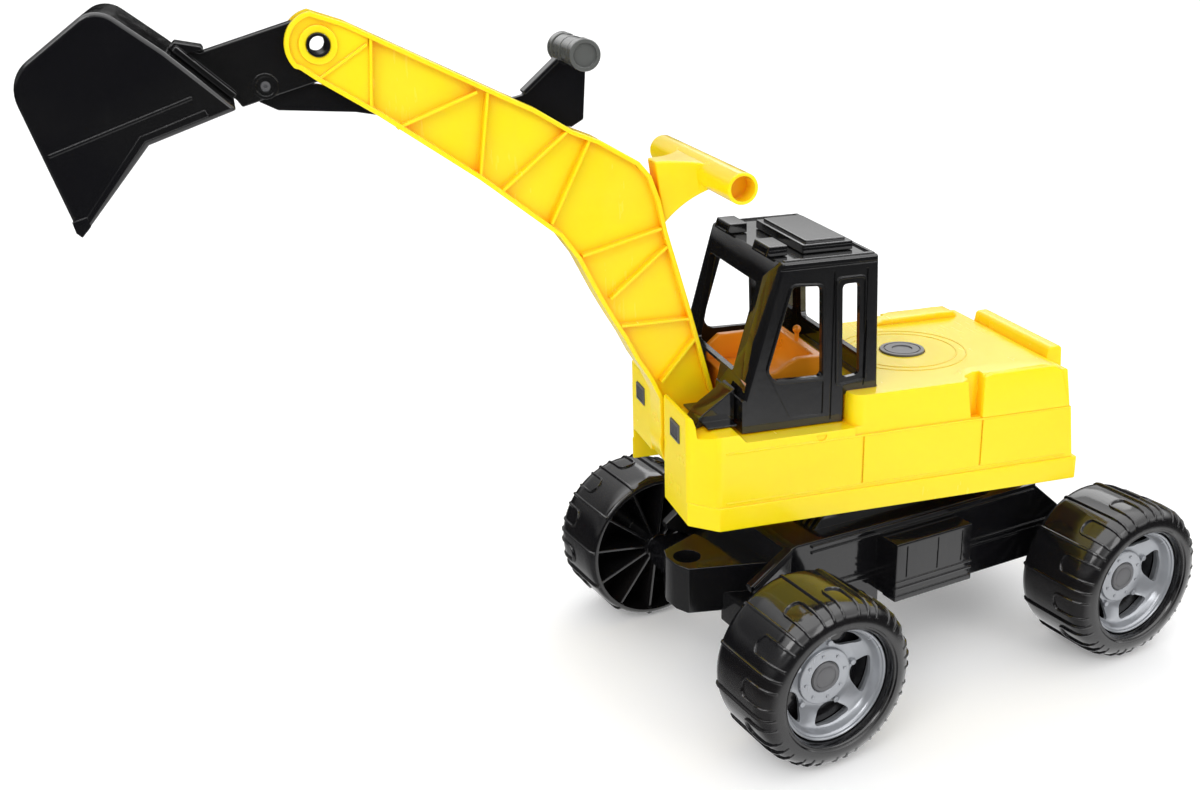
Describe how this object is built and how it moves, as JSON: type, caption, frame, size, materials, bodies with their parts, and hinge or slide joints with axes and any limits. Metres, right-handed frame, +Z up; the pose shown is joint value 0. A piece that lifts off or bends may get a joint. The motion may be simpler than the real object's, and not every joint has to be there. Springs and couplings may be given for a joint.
{
  "type": "toy excavator",
  "caption": "Toy excavator on four wheels: a yellow slewing house with a black cab, a lifting boom, and a black stick with a bucket worked by a tee lever.",
  "frame": {"origin": "on the ground, under the middle of the rest bounding box", "axes": "+Z up, -Y the way the chassis points, +X its left side; at rest the house is slewed 11.8 degrees towards -X and the boom is raised"},
  "size_m": [0.2646, 0.6344, 0.4199],
  "materials": {
    "yellow_plastic": "warm yellow injection-moulded plastic, glossy",
    "black_plastic": "black injection-moulded plastic, glossy",
    "silver_plastic": "silver-grey plastic, satin",
    "grey_plastic": "dark grey plastic, satin",
    "steel": "plain bright steel rod"
  },
  "bodies": {
    "chassis": {"chassis_frame": "black_plastic", "front_axle": "steel", "rear_axle": "steel", "swivel_pin": "steel"},
    "wheel_front_left": {"tyre_front_left": "black_plastic", "rim_front_left": "silver_plastic", "hub_cap_front_left": "grey_plastic"},
    "wheel_front_right": {"tyre_front_right": "black_plastic", "rim_front_right": "silver_plastic", "hub_cap_front_right": "grey_plastic"},
    "wheel_rear_left": {"tyre_rear_left": "black_plastic", "rim_rear_left": "silver_plastic", "hub_cap_rear_left": "grey_plastic"},
    "wheel_rear_right": {"tyre_rear_right": "black_plastic", "rim_rear_right": "silver_plastic", "hub_cap_rear_right": "grey_plastic"},
    "house": {"house_shell": "yellow_plastic", "turntable_plate": "black_plastic", "swivel_cap": "grey_plastic", "lamp_left": "grey_plastic", "lamp_right": "grey_plastic", "apron_left": "black_plastic", "apron_right": "black_plastic", "roof_lamp_left": "black_plastic", "roof_lamp_right": "black_plastic", "boom_pivot_pin": "steel", "cab_shell": "black_plastic", "roof_hatch": "black_plastic", "cab_seat": "yellow_plastic"},
    "boom": {"boom": "yellow_plastic", "elbow_handle": "yellow_plastic", "tip_tube": "black_plastic"},
    "stick": {"stick": "black_plastic", "bucket": "black_plastic", "link_pin": "grey_plastic"},
    "lever": {"lever": "black_plastic"}
  },
  "joints": [
    {"name": "house_slew", "type": "hinge", "parent": "chassis", "child": "house", "pos_m": [0.00486, 0.1716, 0.113], "axis": [0, 0, 1], "continuous": true},
    {"name": "boom_lift", "type": "hinge", "parent": "house", "child": "boom", "pos_m": [-0.02406, 0.03319, 0.1513], "axis": [0.9789, -0.2045, 0], "range_deg": [0, 50.5]},
    {"name": "stick_swing", "type": "hinge", "parent": "boom", "child": "stick", "pos_m": [-0.06606, -0.16787, 0.3972], "axis": [0.9789, -0.2045, 0], "range_deg": [-20, 40]},
    {"name": "lever_pivot", "type": "hinge", "parent": "stick", "child": "lever", "pos_m": [-0.07187, -0.19567, 0.3776], "axis": [0.9789, -0.2045, 0], "range_deg": [-34, 17.5]},
    {"name": "wheel_spin_front_left", "type": "hinge", "parent": "chassis", "child": "wheel_front_left", "pos_m": [0.10601, 0.0338, 0.052], "axis": [1, 0, 0], "continuous": true},
    {"name": "wheel_spin_front_right", "type": "hinge", "parent": "chassis", "child": "wheel_front_right", "pos_m": [-0.09629, 0.0338, 0.052], "axis": [1, 0, 0], "continuous": true},
    {"name": "wheel_spin_rear_left", "type": "hinge", "parent": "chassis", "child": "wheel_rear_left", "pos_m": [0.10601, 0.2652, 0.052], "axis": [1, 0, 0], "continuous": true},
    {"name": "wheel_spin_rear_right", "type": "hinge", "parent": "chassis", "child": "wheel_rear_right", "pos_m": [-0.09629, 0.2652, 0.052], "axis": [1, 0, 0], "continuous": true}
  ],
  "couplings": [
    {"joint": "lever_pivot", "follows": "stick_swing", "ratio": -0.83}
  ]
}
